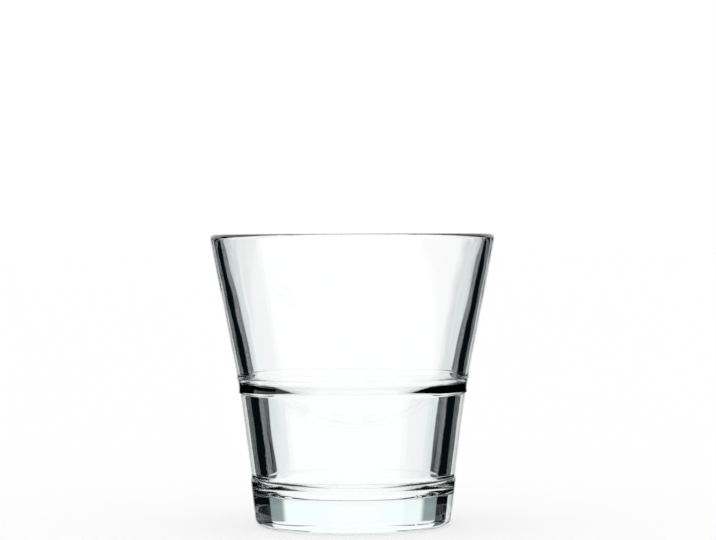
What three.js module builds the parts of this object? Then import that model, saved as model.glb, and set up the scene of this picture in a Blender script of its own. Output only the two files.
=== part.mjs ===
// Stacking rocks tumbler of clear pressed soda-lime glass, in millimetres, +Z up.
// The origin is the centre of the foot ring, on the surface that the tumbler stands on.
// The real tumbler is a single gob of glass pressed in one mould, so the model is one solid of revolution.
import * as THREE from "three";

// Overall size
const HEIGHT = 90;
const RIM_RADIUS = 44;

// Foot block: the solid glass below the floor of the well, with a shallow cove above its edge
const FOOT_RADIUS = 31.8;
const FOOT_HEIGHT = 14.1;
const FOOT_DRAFT = 1.6;
const HEEL_FILLET = 2.5;
const FOOT_RING_WIDTH = 6.5;
const PUNT_DEPTH = 2;
const COVE_DEPTH = 0.28;
const COVE_HEIGHT = 1;
const COVE_FILLET = 1;

// Stacking band: the raised belt outside, level with the shoulder inside, with a hollow face and a waist above it
const BAND_RADIUS = 36.05;
const BAND_TOP = 45.77;
const BAND_HEIGHT = 4.95;
const BAND_DRAFT = 0.62;
const BAND_HOLLOW = 0.3;
const BAND_STEP = 0.5;
const BAND_STEP_RISE = 0.4;
const WAIST_STEP = 0.12;
const WAIST_RISE = 0.35;

// Flared upper wall, leaning out from the vertical at its two ends and bowed in a little on the inside
const FLARE_LEAN_AT_BAND = 10.4;
const FLARE_LEAN_AT_RIM = 10.25;
const INNER_BOW = 0.18;

// Inside: wall thicknesses, the soft shoulder that carries the next tumbler of a stack, and the well below it
const RIM_WALL = 2.55;
const WELL_WALL_AT_SHOULDER = 5.2;
const WELL_WALL_AT_FLOOR = 5.74;
const FLOOR_THICKNESS = 9.95;
const WELL_FILLET = 6.5;
const SHOULDER_DROP = 0.79;
const SHOULDER_WIDTH = 2.19;
const SHOULDER_HEIGHT = 3.41;
const SHOULDER_ROOT_FILLET = 4;
const SHOULDER_LIP_FILLET = 3.5;
const EDGE_FILLET = 0.2;

// Fineness of the facets
const TURN_SEGMENTS = 56;
const FLARE_STEPS = 9;
const BAND_FACE_STEPS = 4;
const PUNT_STEPS = 5;
const LIP_STEPS = 9;
const ARC_STEP = THREE.MathUtils.degToRad(18);
const LARGEST_FILLET_SHARE = 0.48;

// A corner of the outline: its distance from the axis, its height and the fillet that rounds it.
function corner(radius, height, fillet = 0) {
  return { at: new THREE.Vector2(radius, height), fillet };
}

// Points of the arc that rounds one corner, tangent to both of its sides.
function filletPoints(before, here, after) {
  if (here.fillet === 0) return [here.at];
  const toBefore = before.at.clone().sub(here.at);
  const toAfter = after.at.clone().sub(here.at);
  const room = Math.min(toBefore.length(), toAfter.length()) * LARGEST_FILLET_SHARE;
  toBefore.normalize();
  toAfter.normalize();
  const halfAngle = Math.acos(THREE.MathUtils.clamp(toBefore.dot(toAfter), -1, 1)) / 2;
  const tangent = Math.min(here.fillet / Math.tan(halfAngle), room);
  const radius = tangent * Math.tan(halfAngle);
  const centre = toBefore.clone().add(toAfter).normalize();
  centre.multiplyScalar(radius / Math.sin(halfAngle)).add(here.at);
  const start = here.at.clone().addScaledVector(toBefore, tangent).sub(centre);
  const end = here.at.clone().addScaledVector(toAfter, tangent).sub(centre);
  const sweep = Math.atan2(start.cross(end), start.dot(end));
  const steps = Math.ceil(Math.abs(sweep) / ARC_STEP);
  return Array.from({ length: steps + 1 }, (_, i) => {
    const turned = start.clone().rotateAround(new THREE.Vector2(), (sweep * i) / steps);
    return turned.add(centre);
  });
}

// The outline with every corner rounded; its first and last corners lie on the axis.
function roundedOutline(corners) {
  return corners.flatMap((here, i) => filletPoints(corners[i - 1] ?? here, here, corners[i + 1] ?? here));
}

// The concave punt under the foot, from the axis out to the foot ring.
function punt(ringInnerRadius) {
  return Array.from({ length: PUNT_STEPS }, (_, i) => {
    const share = i / PUNT_STEPS;
    return corner(ringInnerRadius * share, PUNT_DEPTH * (1 - share * share));
  });
}

// The foot block outside: flat ring, round heel, and the cove that leads from its edge into the well's wall.
function footBlock(heelRadius, wellOuterFoot) {
  return [
    corner(heelRadius - HEEL_FILLET - FOOT_RING_WIDTH, 0),
    corner(heelRadius, 0, HEEL_FILLET),
    corner(FOOT_RADIUS, FOOT_HEIGHT, EDGE_FILLET),
    corner(wellOuterFoot, FOOT_HEIGHT + COVE_HEIGHT, COVE_FILLET),
  ];
}

// How far a shallow hollow reaches in at a share of its length: nothing at its ends, all of its depth halfway.
function hollowAt(share, depth) {
  return depth * 4 * share * (1 - share);
}

// The raised belt outside the shoulder, with a step under it, a hollow face and a soft edge on top.
function stackingBand(bandFoot, wellOuterTop) {
  const foot = new THREE.Vector2(bandFoot, BAND_TOP - BAND_HEIGHT + BAND_STEP_RISE);
  const tip = new THREE.Vector2(BAND_RADIUS, BAND_TOP);
  const face = Array.from({ length: BAND_FACE_STEPS - 1 }, (_, i) => {
    const share = (i + 1) / BAND_FACE_STEPS;
    const point = foot.clone().lerp(tip, share);
    return corner(point.x - hollowAt(share, BAND_HOLLOW), point.y);
  });
  return [
    corner(wellOuterTop, BAND_TOP - BAND_HEIGHT, EDGE_FILLET),
    corner(foot.x, foot.y, EDGE_FILLET),
    ...face,
    corner(tip.x, tip.y, EDGE_FILLET),
  ];
}

// The fire-polished lip: a round edge as thick as the rim's wall, tangent to the walls below it.
const lipRadius = RIM_WALL / 2;
const lipCentre = new THREE.Vector2(RIM_RADIUS - lipRadius, HEIGHT - lipRadius);
function onLip(angle) {
  return new THREE.Vector2(lipRadius, 0).rotateAround(new THREE.Vector2(), angle).add(lipCentre);
}

// The outside of the flared wall, from just above the band to the lip.
function flare(start) {
  const leanAtBand = THREE.MathUtils.degToRad(FLARE_LEAN_AT_BAND);
  const leanAtRim = THREE.MathUtils.degToRad(FLARE_LEAN_AT_RIM);
  const end = onLip(-leanAtRim);
  const reach = (end.y - start.y) / 3;
  const curve = new THREE.CubicBezierCurve(
    start,
    new THREE.Vector2(start.x + reach * Math.tan(leanAtBand), start.y + reach),
    new THREE.Vector2(end.x - reach * Math.tan(leanAtRim), end.y - reach),
    end,
  );
  return curve.getPoints(FLARE_STEPS).slice(0, -1).map((point) => corner(point.x, point.y));
}

// The lip's arc, from the outer wall over the top to the inner wall.
function lip(shoulderRoot) {
  const toCentre = lipCentre.clone().sub(shoulderRoot);
  const innerSlope = toCentre.angle() + Math.asin(lipRadius / toCentre.length());
  const from = -THREE.MathUtils.degToRad(FLARE_LEAN_AT_RIM);
  const to = innerSlope + Math.PI / 2;
  return Array.from({ length: LIP_STEPS + 1 }, (_, i) => {
    const point = onLip(from + ((to - from) * i) / LIP_STEPS);
    return corner(point.x, point.y);
  });
}

// The inside of the flared wall, from the lip down to the shoulder.
function innerWall(lipEnd, shoulderRoot) {
  return Array.from({ length: FLARE_STEPS - 1 }, (_, i) => {
    const share = (i + 1) / FLARE_STEPS;
    const point = lipEnd.clone().lerp(shoulderRoot, share);
    return corner(point.x - hollowAt(share, INNER_BOW), point.y);
  });
}

// The inside, downwards: the shoulder, the well under it and the flat floor, which ends on the axis.
function inside(shoulderRoot, wellFloorRadius) {
  return [
    corner(shoulderRoot.x, shoulderRoot.y, SHOULDER_ROOT_FILLET),
    corner(shoulderRoot.x - SHOULDER_WIDTH, shoulderRoot.y - SHOULDER_HEIGHT, SHOULDER_LIP_FILLET),
    corner(wellFloorRadius, FLOOR_THICKNESS, WELL_FILLET),
    corner(0, FLOOR_THICKNESS),
  ];
}

// Half of the tumbler's section, from the axis under the foot round to the axis on the floor of the well.
function section() {
  const heelRadius = FOOT_RADIUS - FOOT_DRAFT;
  const wellOuterFoot = FOOT_RADIUS - COVE_DEPTH;
  const bandFoot = BAND_RADIUS - BAND_DRAFT;
  const wellOuterTop = bandFoot - BAND_STEP;
  const flareStart = new THREE.Vector2(BAND_RADIUS - WAIST_STEP, BAND_TOP + WAIST_RISE);
  const wellTopRadius = wellOuterTop - WELL_WALL_AT_SHOULDER;
  const shoulderRoot = new THREE.Vector2(wellTopRadius + SHOULDER_WIDTH, BAND_TOP - SHOULDER_DROP);
  const rim = lip(shoulderRoot);
  return roundedOutline([
    ...punt(heelRadius - HEEL_FILLET - FOOT_RING_WIDTH),
    ...footBlock(heelRadius, wellOuterFoot),
    ...stackingBand(bandFoot, wellOuterTop),
    ...flare(flareStart),
    ...rim,
    ...innerWall(rim.at(-1).at, shoulderRoot),
    ...inside(shoulderRoot, wellOuterFoot - WELL_WALL_AT_FLOOR),
  ]);
}

// Clear glass: nearly colourless, with a faint green cast, and polished by the flame.
const clearGlass = new THREE.MeshStandardMaterial({
  color: 0xeef6f4,
  roughness: 0.03,
  metalness: 0,
  transparent: true,
  opacity: 0.35,
});

// The section turned about the axis, with the axis brought upright.
function tumblerBody() {
  const geometry = new THREE.LatheGeometry(section(), TURN_SEGMENTS);
  geometry.rotateX(Math.PI / 2);
  const mesh = new THREE.Mesh(geometry, clearGlass);
  mesh.name = "glass_tumbler";
  return mesh;
}

const tumbler = new THREE.Group();
tumbler.add(tumblerBody());

export default tumbler;
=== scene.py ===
"""Stacking tumbler of clear pressed glass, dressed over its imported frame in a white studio."""
import logging
import math
from collections.abc import Iterator, Mapping, Sequence
from dataclasses import dataclass, field, replace
from enum import Enum, IntEnum
from typing import Any, Union

import bpy
from mathutils import Matrix, Vector, noise


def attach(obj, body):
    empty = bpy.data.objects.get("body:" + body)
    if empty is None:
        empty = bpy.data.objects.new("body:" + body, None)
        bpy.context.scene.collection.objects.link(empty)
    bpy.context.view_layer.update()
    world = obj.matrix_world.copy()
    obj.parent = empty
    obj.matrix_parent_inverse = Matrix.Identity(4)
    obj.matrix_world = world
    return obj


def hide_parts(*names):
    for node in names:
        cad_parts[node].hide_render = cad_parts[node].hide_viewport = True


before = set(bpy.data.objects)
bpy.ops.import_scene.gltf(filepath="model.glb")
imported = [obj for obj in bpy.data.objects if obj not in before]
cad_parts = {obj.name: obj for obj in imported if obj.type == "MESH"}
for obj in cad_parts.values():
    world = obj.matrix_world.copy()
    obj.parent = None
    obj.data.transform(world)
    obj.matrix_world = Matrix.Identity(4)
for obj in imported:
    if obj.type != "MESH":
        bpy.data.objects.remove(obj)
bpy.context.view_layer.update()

MM = 0.001
PHOTO_WIDTH = 716

log = logging.getLogger("tumbler")


class Side(Enum):
    """Side of the set that a card stands on, as the sign of its bearings."""

    LEFT = -1.0
    RIGHT = 1.0
    BOTH = 0.0


class Tone(Enum):
    """Colour of a card."""

    BLACK = (0.002, 0.004, 0.005, 1.0)
    GREY = (0.26, 0.33, 0.34, 1.0)
    PALE = (0.94, 1.0, 0.995, 1.0)
    WHITE = (1.0, 1.0, 1.0, 1.0)


class Value:
    """A shader value; arithmetic on it adds Math nodes to its bench."""

    def __init__(self, bench: "NodeBench", socket: bpy.types.NodeSocket) -> None:
        """Keeps the bench and the output socket that carries the value."""
        self.bench = bench
        self.socket = socket

    def _math(self, operation: str, first: "Operand", second: "Operand") -> "Value":
        """Adds one Math node.

        Args:
            operation: the Math node's operation.
            first: the upper input.
            second: the lower input.

        Returns:
            The node's result.
        """
        node = self.bench.node("ShaderNodeMath", {"operation": operation}, {0: first, 1: second})
        return Value(self.bench, node.outputs[0])

    def __add__(self, other: "Operand") -> "Value":
        """Sum of two values."""
        return self._math("ADD", self, other)

    def __sub__(self, other: "Operand") -> "Value":
        """Difference of two values."""
        return self._math("SUBTRACT", self, other)

    def __mul__(self, other: "Operand") -> "Value":
        """Product of two values."""
        return self._math("MULTIPLY", self, other)

    def __radd__(self, other: float) -> "Value":
        """Sum of a number and a value."""
        return self._math("ADD", other, self)

    def __rsub__(self, other: float) -> "Value":
        """Difference of a number and a value."""
        return self._math("SUBTRACT", other, self)

    def __rmul__(self, other: float) -> "Value":
        """Product of a number and a value."""
        return self._math("MULTIPLY", other, self)

    def __abs__(self) -> "Value":
        """Size of the value without its sign."""
        return self._math("ABSOLUTE", self, 0.0)

    def arcsine(self) -> "Value":
        """Angle whose sine is this value, in radians."""
        return self._math("ARCSINE", self, 0.0)

    def bearing(self, ahead: "Value") -> "Value":
        """Angle of this value against the one ahead, in radians."""
        return self._math("ARCTAN2", self, ahead)

    def rising(self, start: float, end: float) -> "Value":
        """Smooth step of this value.

        Args:
            start: where the step is still 0.
            end: where the step has reached 1.

        Returns:
            A value from 0 to 1.
        """
        node = self.bench.node(
            "ShaderNodeMapRange",
            {"interpolation_type": "SMOOTHSTEP"},
            {"Value": self, "From Min": start, "From Max": end, "To Min": 0.0, "To Max": 1.0},
        )
        return Value(self.bench, node.outputs["Result"])

    def within(self, low: float, high: float, soft: float) -> "Value":
        """Mask that is 1 between two limits.

        Args:
            low: the lower limit.
            high: the upper limit.
            soft: the width of each edge, centred on its limit.

        Returns:
            A value from 0 to 1.
        """
        start = self.rising(low - soft / 2, low + soft / 2)
        end = self.rising(high - soft / 2, high + soft / 2)
        return start * (1.0 - end)


Operand = Union[Value, bpy.types.NodeSocket, float]
Sockets = Mapping[Union[str, int], Any]


class MixSocket(IntEnum):
    """Places of the colour sockets on a Mix node."""

    SHARE = 0
    BELOW = 6
    ABOVE = 7
    RESULT = 2


class NodeBench:
    """A cleared node tree on which a finish or a light is put together."""

    def __init__(self, tree: bpy.types.NodeTree) -> None:
        """Clears the tree."""
        tree.nodes.clear()
        self.tree = tree

    def node(self, kind: str, settings: Mapping[str, Any], sockets: Sockets) -> bpy.types.Node:
        """Adds one node.

        Args:
            kind: the node's type.
            settings: its own settings, which are set first.
            sockets: values or links for its inputs, by name or place.

        Returns:
            The new node.
        """
        made = self.tree.nodes.new(kind)
        for name, setting in settings.items():
            setattr(made, name, setting)
        for name, wanted in sockets.items():
            source = wanted.socket if isinstance(wanted, Value) else wanted
            if isinstance(source, bpy.types.NodeSocket):
                self.tree.links.new(source, made.inputs[name])
            else:
                made.inputs[name].default_value = source
        return made

    def read(self, kind: str, output: str, sockets: Sockets) -> Value:
        """Adds one node and takes a single output of it.

        Args:
            kind: the node's type.
            output: the output's name.
            sockets: values or links for its inputs.

        Returns:
            The output as a value.
        """
        return Value(self, self.node(kind, {}, sockets).outputs[output])

    def mix(self, share: Value, below: Any, above: Any) -> bpy.types.NodeSocket:
        """Lays one colour over another.

        Args:
            share: how much of the upper colour shows.
            below: the lower colour, as a socket or four numbers.
            above: the upper colour.

        Returns:
            The socket with the mixed colour.
        """
        made = self.node(
            "ShaderNodeMix",
            {"data_type": "RGBA"},
            {MixSocket.SHARE: share, MixSocket.BELOW: below, MixSocket.ABOVE: above},
        )
        return made.outputs[MixSocket.RESULT]


@dataclass(frozen=True)
class ClearGlass:
    """Pressed soda-lime glass, polished by the flame, with a faint green cast."""

    slot: str = "clear_glass"
    refraction: float = 1.52
    cast: tuple[float, float, float, float] = (0.55, 0.94, 0.92, 1.0)
    cast_density: float = 1.5
    polish: float = 0.0
    scuff: float = 0.12
    scuff_height: float = 0.0004

    def material(self) -> bpy.types.Material:
        """Makes the glass, with fine scuffs only where the foot ring stands on tables.

        Returns:
            The material.
        """
        made = bpy.data.materials.new(self.slot)
        made.use_nodes = True
        bench = NodeBench(made.node_tree)
        place = bench.node("ShaderNodeTexCoord", {}, {})
        height = bench.read("ShaderNodeSeparateXYZ", "Z", {"Vector": place.outputs["Object"]})
        worn = 1.0 - height.rising(self.scuff_height / 2, self.scuff_height)
        surface = bench.node(
            "ShaderNodeBsdfPrincipled",
            {},
            {
                "Base Color": (1.0, 1.0, 1.0, 1.0),
                "Roughness": worn * self.scuff + self.polish,
                "IOR": self.refraction,
                "Transmission Weight": 1.0,
            },
        )
        depth = bench.node(
            "ShaderNodeVolumeAbsorption", {}, {"Color": self.cast, "Density": self.cast_density}
        )
        bench.node(
            "ShaderNodeOutputMaterial",
            {},
            {"Surface": surface.outputs["BSDF"], "Volume": depth.outputs["Volume"]},
        )
        return made


@dataclass(frozen=True)
class WhitePaper:
    """Matt white paper under the tumbler, lit a little from behind."""

    white: float = 0.99
    glow: float = 0.5

    def material(self) -> bpy.types.Material:
        """Makes the paper.

        Returns:
            The material.
        """
        made = bpy.data.materials.new("white_paper")
        made.use_nodes = True
        bench = NodeBench(made.node_tree)
        sheet = bench.node("ShaderNodeBsdfDiffuse", {}, {"Color": (self.white,) * 3 + (1.0,)})
        light = bench.node("ShaderNodeEmission", {}, {"Color": Tone.WHITE.value, "Strength": 1.0})
        camera = bench.read("ShaderNodeLightPath", "Is Camera Ray", {})
        lit = bench.node(
            "ShaderNodeMixShader",
            {},
            {"Fac": camera * self.glow, 1: sheet.outputs["BSDF"], 2: light.outputs["Emission"]},
        )
        bench.node("ShaderNodeOutputMaterial", {}, {"Surface": lit.outputs["Shader"]})
        return made


@dataclass(frozen=True)
class Corner:
    """A corner of the half section, in millimetres, with the fillet that rounds it."""

    radius: float
    height: float
    fillet: float = 0.0

    @property
    def at(self) -> Vector:
        """The corner as a point of the section."""
        return Vector((self.radius, self.height))


@dataclass(frozen=True)
class Outline:
    """The corners of a half section in order, from the axis back to the axis."""

    corners: Sequence[Corner]
    arc_step: float = math.radians(5)
    least_arc_steps: int = 4
    largest_share: float = 0.48
    support: float = 0.05
    shortest_run: float = 0.2
    longest_run: float = 3.0

    def _fillet(self, before: Corner, here: Corner, after: Corner) -> list[Vector]:
        """Points of the arc that rounds one corner.

        Args:
            before: the corner before it.
            here: the corner to round.
            after: the corner after it.

        Returns:
            The arc's points, or the bare corner where it has no fillet.
        """
        if here.fillet == 0:
            return [here.at]
        back, ahead = before.at - here.at, after.at - here.at
        room = min(back.length, ahead.length) * self.largest_share
        back.normalize()
        ahead.normalize()
        half = back.angle(ahead) / 2
        tangent = min(here.fillet / math.tan(half), room)
        centre = here.at + (back + ahead).normalized() * (tangent / math.cos(half))
        start = here.at + back * tangent - centre
        end = here.at + ahead * tangent - centre
        sweep = math.atan2(start.x * end.y - start.y * end.x, start.dot(end))
        steps = max(self.least_arc_steps, math.ceil(abs(sweep) / self.arc_step))
        turns = (sweep * step / steps for step in range(steps + 1))
        return [centre + Matrix.Rotation(turn, 2) @ start for turn in turns]

    def _run(self, start: Vector, end: Vector) -> Iterator[Vector]:
        """Points inside a straight run, so that smooth shading keeps it straight beside a fillet.

        Args:
            start: the run's first point.
            end: its last point.

        Yields:
            A point close to each end, and points along a long run.
        """
        length = (end - start).length
        if length < self.shortest_run:
            return
        pieces = math.ceil(length / self.longest_run)
        inner = [length * piece / pieces for piece in range(1, pieces)]
        for distance in (self.support, *inner, length - self.support):
            yield start.lerp(end, distance / length)

    def line(self) -> list[Vector]:
        """The whole outline with its corners rounded.

        Returns:
            Points from the axis back to the axis.
        """
        last = len(self.corners) - 1
        arcs = [
            self._fillet(self.corners[max(place - 1, 0)], here, self.corners[min(place + 1, last)])
            for place, here in enumerate(self.corners)
        ]
        points = list(arcs[0])
        for before, here, arc in zip(self.corners, self.corners[1:], arcs[1:]):
            if before.fillet or here.fillet:
                points.extend(self._run(points[-1], arc[0]))
            points.extend(arc)
        return points


def hollow_at(share: float, depth: float) -> float:
    """How far a shallow hollow of some depth reaches in at a share of its length."""
    return depth * 4 * share * (1 - share)


@dataclass(frozen=True)
class FootBlock:
    """The solid block under the well: shallow punt, foot ring, round heel and a cove on top."""

    radius: float = 31.8
    height: float = 14.1
    draft: float = 1.6
    heel_fillet: float = 2.5
    ring_width: float = 6.5
    punt_depth: float = 2.0
    punt_steps: int = 24
    cove_depth: float = 0.28
    cove_height: float = 1.0
    cove_fillet: float = 1.0
    edge_fillet: float = 0.2

    @property
    def ring_inner_radius(self) -> float:
        """Inner radius of the flat ring that the tumbler stands on."""
        return self.radius - self.draft - self.heel_fillet - self.ring_width

    @property
    def wall_radius(self) -> float:
        """Radius of the outside just above the cove."""
        return self.radius - self.cove_depth

    def corners(self) -> list[Corner]:
        """The foot's part of the outline.

        Returns:
            Corners from the axis to the top of the cove.
        """
        ring = self.ring_inner_radius
        shares = [step / self.punt_steps for step in range(self.punt_steps)]
        punt = [Corner(ring * share, self.punt_depth * (1 - share**2)) for share in shares]
        return punt + [
            Corner(ring, 0),
            Corner(self.radius - self.draft, 0, self.heel_fillet),
            Corner(self.radius, self.height, self.edge_fillet),
            Corner(self.wall_radius, self.height + self.cove_height, self.cove_fillet),
        ]


@dataclass(frozen=True)
class StackingBand:
    """The raised belt outside the shoulder, with a scooped face and a waist above it."""

    radius: float = 36.05
    top: float = 45.77
    height: float = 4.95
    draft: float = 0.62
    scoop: float = 0.3
    scoop_steps: int = 16
    step: float = 0.5
    step_rise: float = 0.4
    waist_step: float = 0.12
    waist_rise: float = 0.35
    under_fillet: float = 0.13
    edge_fillet: float = 0.3
    tip_fillet: float = 0.18
    waist_fillet: float = 1.27

    @property
    def wall_radius(self) -> float:
        """Radius of the outside just under the belt."""
        return self.radius - self.draft - self.step

    @property
    def waist(self) -> Vector:
        """Where the flared wall starts above the belt."""
        return Vector((self.radius - self.waist_step, self.top + self.waist_rise))

    def _face(self, share: float) -> Corner:
        """One corner of the scooped face.

        Args:
            share: how far along the face, from its foot at 0 to its tip at 1.

        Returns:
            The corner, without a fillet.
        """
        foot = self.top - self.height + self.step_rise
        radius = self.radius - self.draft * (1 - share) - hollow_at(share, self.scoop)
        return Corner(radius, foot + (self.top - foot) * share)

    def corners(self) -> list[Corner]:
        """The belt's part of the outline.

        Returns:
            Corners from under the belt to the waist above it.
        """
        shares = [step / self.scoop_steps for step in range(1, self.scoop_steps)]
        return [
            Corner(self.wall_radius, self.top - self.height, self.under_fillet),
            replace(self._face(0), fillet=self.edge_fillet),
            *(self._face(share) for share in shares),
            Corner(self.radius, self.top, self.tip_fillet),
            Corner(*self.waist, self.waist_fillet),
        ]


@dataclass(frozen=True)
class Lip:
    """The round rim, as thick as the wall under it."""

    radius: float = 44.0
    height: float = 90.0
    wall: float = 2.55
    steps: int = 40

    @property
    def round_radius(self) -> float:
        """Radius of the rim's round section."""
        return self.wall / 2

    @property
    def centre(self) -> Vector:
        """Centre of the rim's round section."""
        return Vector((self.radius - self.round_radius, self.height - self.round_radius))

    def at(self, angle: float) -> Vector:
        """Point of the rim's round section at an angle from straight out."""
        return self.centre + Vector((math.cos(angle), math.sin(angle))) * self.round_radius

    def corners(self, outer_lean: float, shoulder_root: Vector) -> list[Corner]:
        """The rim's arc, tangent to the walls on both sides.

        Args:
            outer_lean: lean of the outer wall at the rim, in radians.
            shoulder_root: foot of the inner wall.

        Returns:
            Corners from the outer wall over the top to the inner wall.
        """
        reach = self.centre - shoulder_root
        slope = math.atan2(reach.y, reach.x) + math.asin(self.round_radius / reach.length)
        start, end = -outer_lean, slope + math.pi / 2
        turns = (start + (end - start) * step / self.steps for step in range(self.steps + 1))
        return [Corner(*self.at(turn)) for turn in turns]


@dataclass(frozen=True)
class FlaredWall:
    """The upper wall, curving slightly as it leans out."""

    lean_at_band: float = 10.4
    lean_at_rim: float = 10.25
    inner_bow: float = 0.18
    steps: int = 40

    @property
    def rim_lean(self) -> float:
        """Lean at the rim, in radians."""
        return math.radians(self.lean_at_rim)

    def outer_corners(self, start: Vector, end: Vector) -> list[Corner]:
        """The outside of the wall as a cubic curve.

        Args:
            start: its point above the belt.
            end: its point under the rim.

        Returns:
            Corners between the start and the end.
        """
        reach = (end.y - start.y) / 3
        low = start + Vector((reach * math.tan(math.radians(self.lean_at_band)), reach))
        high = end - Vector((reach * math.tan(self.rim_lean), reach))
        made = []
        for step in range(1, self.steps):
            share = step / self.steps
            left = 1 - share
            point = start * left**3 + low * (3 * left**2 * share)
            point += high * (3 * left * share**2) + end * share**3
            made.append(Corner(*point))
        return made

    def inner_corners(self, start: Vector, end: Vector) -> list[Corner]:
        """The inside of the wall, bowed in a little.

        Args:
            start: its point under the rim.
            end: its foot on the shoulder.

        Returns:
            Corners between the start and the end.
        """
        made = []
        for step in range(1, self.steps):
            share = step / self.steps
            point = start.lerp(end, share)
            made.append(Corner(point.x - hollow_at(share, self.inner_bow), point.y))
        return made


@dataclass(frozen=True)
class Well:
    """The inside under the flared wall: the soft shoulder for a stack, the well and its floor."""

    wall_at_shoulder: float = 5.2
    wall_at_floor: float = 5.74
    floor: float = 9.95
    floor_fillet: float = 6.5
    shoulder_drop: float = 0.79
    shoulder_width: float = 2.19
    shoulder_height: float = 3.41
    root_fillet: float = 4.0
    lip_fillet: float = 3.5

    def shoulder_root(self, band: StackingBand) -> Vector:
        """Where the inner wall meets the shoulder behind the belt."""
        radius = band.wall_radius - self.wall_at_shoulder + self.shoulder_width
        return Vector((radius, band.top - self.shoulder_drop))

    def corners(self, band: StackingBand, foot: FootBlock) -> list[Corner]:
        """The inside, downwards.

        Args:
            band: the belt outside the shoulder.
            foot: the foot outside the floor.

        Returns:
            Corners from the shoulder to the axis on the floor.
        """
        root = self.shoulder_root(band)
        lip = root - Vector((self.shoulder_width, self.shoulder_height))
        return [
            Corner(*root, self.root_fillet),
            Corner(*lip, self.lip_fillet),
            Corner(foot.wall_radius - self.wall_at_floor, self.floor, self.floor_fillet),
            Corner(0, self.floor),
        ]


@dataclass(frozen=True)
class MouldSeams:
    """Fine upright ridges that the joints of the mould leave on the side of the foot."""

    front: float = -90.0
    bearings: tuple[float, ...] = (38.0, 158.0, 278.0)
    width: float = 0.6
    rise: float = 0.04
    bottom: float = 1.8
    top: float = 14.0
    fade: float = 0.8
    radius: float = 30.0
    columns_each_side: int = 2

    @property
    def middles(self) -> list[float]:
        """Angles of the ridges from the X axis, in radians."""
        return [math.radians(self.front + bearing) for bearing in self.bearings]

    def angles(self) -> list[float]:
        """Columns that the ridges need, as angles from the X axis.

        Returns:
            The angles in radians, ridge by ridge.
        """
        count = self.columns_each_side
        half = self.width / self.radius / 2
        steps = [half * step / count for step in range(-count, count + 1)]
        return [middle + step for middle in self.middles for step in steps]

    def rise_at(self, angle: float, ring: Vector) -> float:
        """How far the ridges stand out.

        Args:
            angle: angle from the X axis, in radians.
            ring: point of the outside's section.

        Returns:
            The rise in millimetres.
        """
        upright = min(ring.y - self.bottom, self.top - ring.y, self.fade) / self.fade
        if upright <= 0:
            return 0.0
        nearest = min(abs(math.remainder(angle - middle, math.tau)) for middle in self.middles)
        share = nearest * self.radius * 2 / self.width
        return self.rise * upright * max(1 - share**2, 0.0)


@dataclass(frozen=True)
class PlungerRipple:
    """Slight waves that the plunger leaves on the inside."""

    depth: float = 0.03
    wave: float = 8.0
    still_below_rim: float = 6.0

    def rise_at(self, angle: float, ring: Vector, rim: float) -> float:
        """How far the inside moves out.

        Args:
            angle: angle from the X axis, in radians.
            ring: point of the inside's section.
            rim: height of the rim.

        Returns:
            The move in millimetres.
        """
        place = Vector((ring.x * math.cos(angle), ring.x * math.sin(angle), ring.y))
        calm = min(max(rim - ring.y, 0.0) / self.still_below_rim, 1.0)
        return self.depth * calm * noise.noise(place / self.wave)


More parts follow.
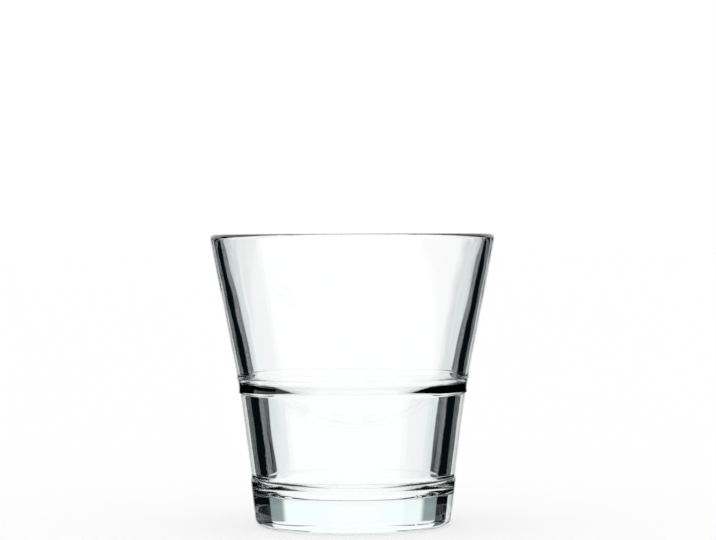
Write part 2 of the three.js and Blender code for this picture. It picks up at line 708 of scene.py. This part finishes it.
@dataclass
class Tumbler:
    """The whole tumbler: one gob of glass, turned from its half section."""

    name: str = "tumbler_body"
    foot: FootBlock = field(default_factory=FootBlock)
    band: StackingBand = field(default_factory=StackingBand)
    flare: FlaredWall = field(default_factory=FlaredWall)
    lip: Lip = field(default_factory=Lip)
    well: Well = field(default_factory=Well)
    seams: MouldSeams = field(default_factory=MouldSeams)
    ripple: PlungerRipple = field(default_factory=PlungerRipple)
    columns: int = 300
    seam_room: float = 0.25

    def outline(self) -> Outline:
        """Puts the parts of the half section together.

        Returns:
            The outline from the axis under the foot to the axis on the floor.
        """
        root = self.well.shoulder_root(self.band)
        rim = self.lip.corners(self.flare.rim_lean, root)
        return Outline(
            self.foot.corners()
            + self.band.corners()
            + self.flare.outer_corners(self.band.waist, rim[0].at)
            + rim
            + self.flare.inner_corners(rim[-1].at, root)
            + self.well.corners(self.band, self.foot)
        )

    def _angles(self) -> list[float]:
        """Angles of the columns: even ones, apart from those of the mould seams.

        Returns:
            The angles from the X axis in radians, in order.
        """
        seams = [angle % math.tau for angle in self.seams.angles()]
        step = math.tau / self.columns
        room = step * self.seam_room
        even = [step * column for column in range(self.columns)]
        clear = [angle for angle in even if all(abs(angle - seam) > room for seam in seams)]
        return sorted(clear + seams)

    def _points(
        self, rings: Sequence[Vector], angles: Sequence[float]
    ) -> Iterator[tuple[float, ...]]:
        """Turns the section's points, with seams outside and ripples inside.

        Args:
            rings: the section's points off the axis, from under the foot to the floor.
            angles: the columns' angles.

        Yields:
            Points in metres, ring by ring.
        """
        heights = [ring.y for ring in rings]
        crest = heights.index(max(heights))
        for place, ring in enumerate(rings):
            for angle in angles:
                if place > crest:
                    rise = self.ripple.rise_at(angle, ring, self.lip.height)
                else:
                    rise = self.seams.rise_at(angle, ring)
                radius = (ring.x + rise) * MM
                yield radius * math.cos(angle), radius * math.sin(angle), ring.y * MM

    def _faces(self, rings: int, columns: int) -> Iterator[tuple[int, ...]]:
        """Joins the turned points, with a fan round the axis under the foot and on the floor.

        Args:
            rings: the number of rings.
            columns: the number of points in each ring.

        Yields:
            The places of each face's points.
        """
        under = rings * columns
        floor, top = under + 1, under - columns
        for column in range(columns):
            after = (column + 1) % columns
            yield under, after, column
            yield floor, top + column, top + after
            for lower in range(0, top, columns):
                upper = lower + columns
                yield lower + column, lower + after, upper + after, upper + column

    def build(self) -> bpy.types.Object:
        """Turns the outline about the axis.

        Returns:
            The tumbler, in metres, in the row frame.
        """
        line = self.outline().line()
        rings, angles = line[1:-1], self._angles()
        points = list(self._points(rings, angles))
        points += [(0, 0, line[0].y * MM), (0, 0, line[-1].y * MM)]
        mesh = bpy.data.meshes.new(self.name)
        mesh.from_pydata(points, [], list(self._faces(len(rings), len(angles))))
        mesh.shade_smooth()
        body = bpy.data.objects.new(self.name, mesh)
        bpy.context.scene.collection.objects.link(body)
        return body

    def dress(self, body: bpy.types.Object, glass: ClearGlass) -> None:
        """Gives the tumbler its glass and its place in the frame.

        Args:
            body: the built tumbler.
            glass: the finish.
        """
        body.data.materials.append(glass.material())
        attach(body, "root")
        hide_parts("glass_tumbler")


@dataclass(frozen=True)
class Card:
    """A card beside the set, by its bearings from straight ahead and its heights, in degrees."""

    side: Side
    bearing: tuple[float, float]
    height: tuple[float, float]
    tone: Tone = Tone.BLACK
    soft: float = 1.5

    def mask(self, bearing: Value, height: Value) -> Value:
        """Where the card is seen.

        Args:
            bearing: bearing of the ray, in radians.
            height: height angle of the ray, in radians.

        Returns:
            A mask from 0 to 1.
        """
        soft = math.radians(self.soft)
        turned = abs(bearing) if self.side is Side.BOTH else bearing * self.side.value
        across = turned.within(*map(math.radians, self.bearing), soft)
        return across * height.within(*map(math.radians, self.height), soft)


@dataclass(frozen=True)
class Studio:
    """White room with cards around the set that only the glass shows, paper and camera."""

    cards: tuple[Card, ...] = (
        # Tint of the walls and the foot
        Card(Side.BOTH, (10, 34), (-24, 8), Tone.PALE, 8.0),
        # Grey sides of the foot
        Card(Side.BOTH, (32, 47), (-4, 5), Tone.GREY, 4.0),
        # Black stripes down the walls, and the black wedges at the band
        Card(Side.RIGHT, (18, 120), (-18, -0.5)),
        Card(Side.LEFT, (18, 62), (-18, -0.5)),
        Card(Side.LEFT, (60, 96), (-15, -7.5)),
        # Dark heel
        Card(Side.RIGHT, (44, 85), (-2, 22.5)),
        Card(Side.LEFT, (44, 61), (-2, 22.5)),
        Card(Side.BOTH, (152, 168), (-10.5, -6.5)),
    )
    paper_size: float = 40.0
    focal_pixels: float = 2544.0
    sensor: float = 36.0
    camera_place: tuple[float, float, float] = (0.00177, -0.788, 0.08794)
    pitch: float = 0.66
    roll: float = 0.25

    def light(self) -> None:
        """Fills the world with even white light and with the cards that only the glass shows."""
        world = bpy.data.worlds.new("white_room")
        world.use_nodes = True
        bpy.context.scene.world = world
        bench = NodeBench(world.node_tree)
        coordinates = bench.node("ShaderNodeTexCoord", {}, {})
        ray = bench.node("ShaderNodeSeparateXYZ", {}, {"Vector": coordinates.outputs["Generated"]})
        across, ahead, up = (Value(bench, ray.outputs[axis]) for axis in "XYZ")
        bearing, height = across.bearing(ahead), up.arcsine()
        shown: Any = Tone.WHITE.value
        for card in self.cards:
            shown = bench.mix(card.mask(bearing, height), shown, card.tone.value)
        path = bench.node("ShaderNodeLightPath", {}, {})
        camera = Value(bench, path.outputs["Is Camera Ray"])
        paper = Value(bench, path.outputs["Diffuse Depth"]).rising(0.0, 1.0)
        glass = (1.0 - camera) * (1.0 - paper)
        room = bench.node(
            "ShaderNodeBackground",
            {},
            {"Color": bench.mix(glass, Tone.WHITE.value, shown), "Strength": 1.0},
        )
        bench.node("ShaderNodeOutputWorld", {}, {"Surface": room.outputs["Background"]})

    def lay_paper(self, finish: WhitePaper) -> bpy.types.Object:
        """Lays the paper that the tumbler stands on.

        Args:
            finish: the paper's finish.

        Returns:
            The paper.
        """
        half = self.paper_size / 2
        mesh = bpy.data.meshes.new("paper")
        sides = [(-half, -half, 0), (half, -half, 0), (half, half, 0), (-half, half, 0)]
        mesh.from_pydata(sides, [], [(0, 1, 2, 3)])
        mesh.materials.append(finish.material())
        paper = bpy.data.objects.new("paper", mesh)
        bpy.context.scene.collection.objects.link(paper)
        paper.visible_transmission = False
        paper.visible_glossy = False
        return paper

    def set_camera(self) -> bpy.types.Object:
        """Sets the camera level with the rim, in front of the tumbler.

        Returns:
            The camera.
        """
        data = bpy.data.cameras.new("camera")
        data.sensor_width = self.sensor
        data.lens = self.focal_pixels / PHOTO_WIDTH * self.sensor
        camera = bpy.data.objects.new("camera", data)
        camera.location = self.camera_place
        camera.rotation_euler = (math.radians(90 - self.pitch), math.radians(self.roll), 0)
        bpy.context.scene.collection.objects.link(camera)
        bpy.context.scene.camera = camera
        return camera

    def expose(self) -> None:
        """Sets plain colour."""
        bpy.context.scene.view_settings.view_transform = "Standard"


def main() -> None:
    """Builds the tumbler, dresses it and sets up the studio."""
    logging.basicConfig(level=logging.INFO, format="%(name)s: %(message)s")
    tumbler = Tumbler()
    body = tumbler.build()
    tumbler.dress(body, ClearGlass())
    log.info("%s: %d points", body.name, len(body.data.vertices))
    studio = Studio()
    studio.light()
    paper = studio.lay_paper(WhitePaper())
    log.info("%s: laid under the tumbler", paper.name)
    camera = studio.set_camera()
    log.info("%s: lens of %.0f mm", camera.name, camera.data.lens)
    studio.expose()


if __name__ == "__main__":
    main()
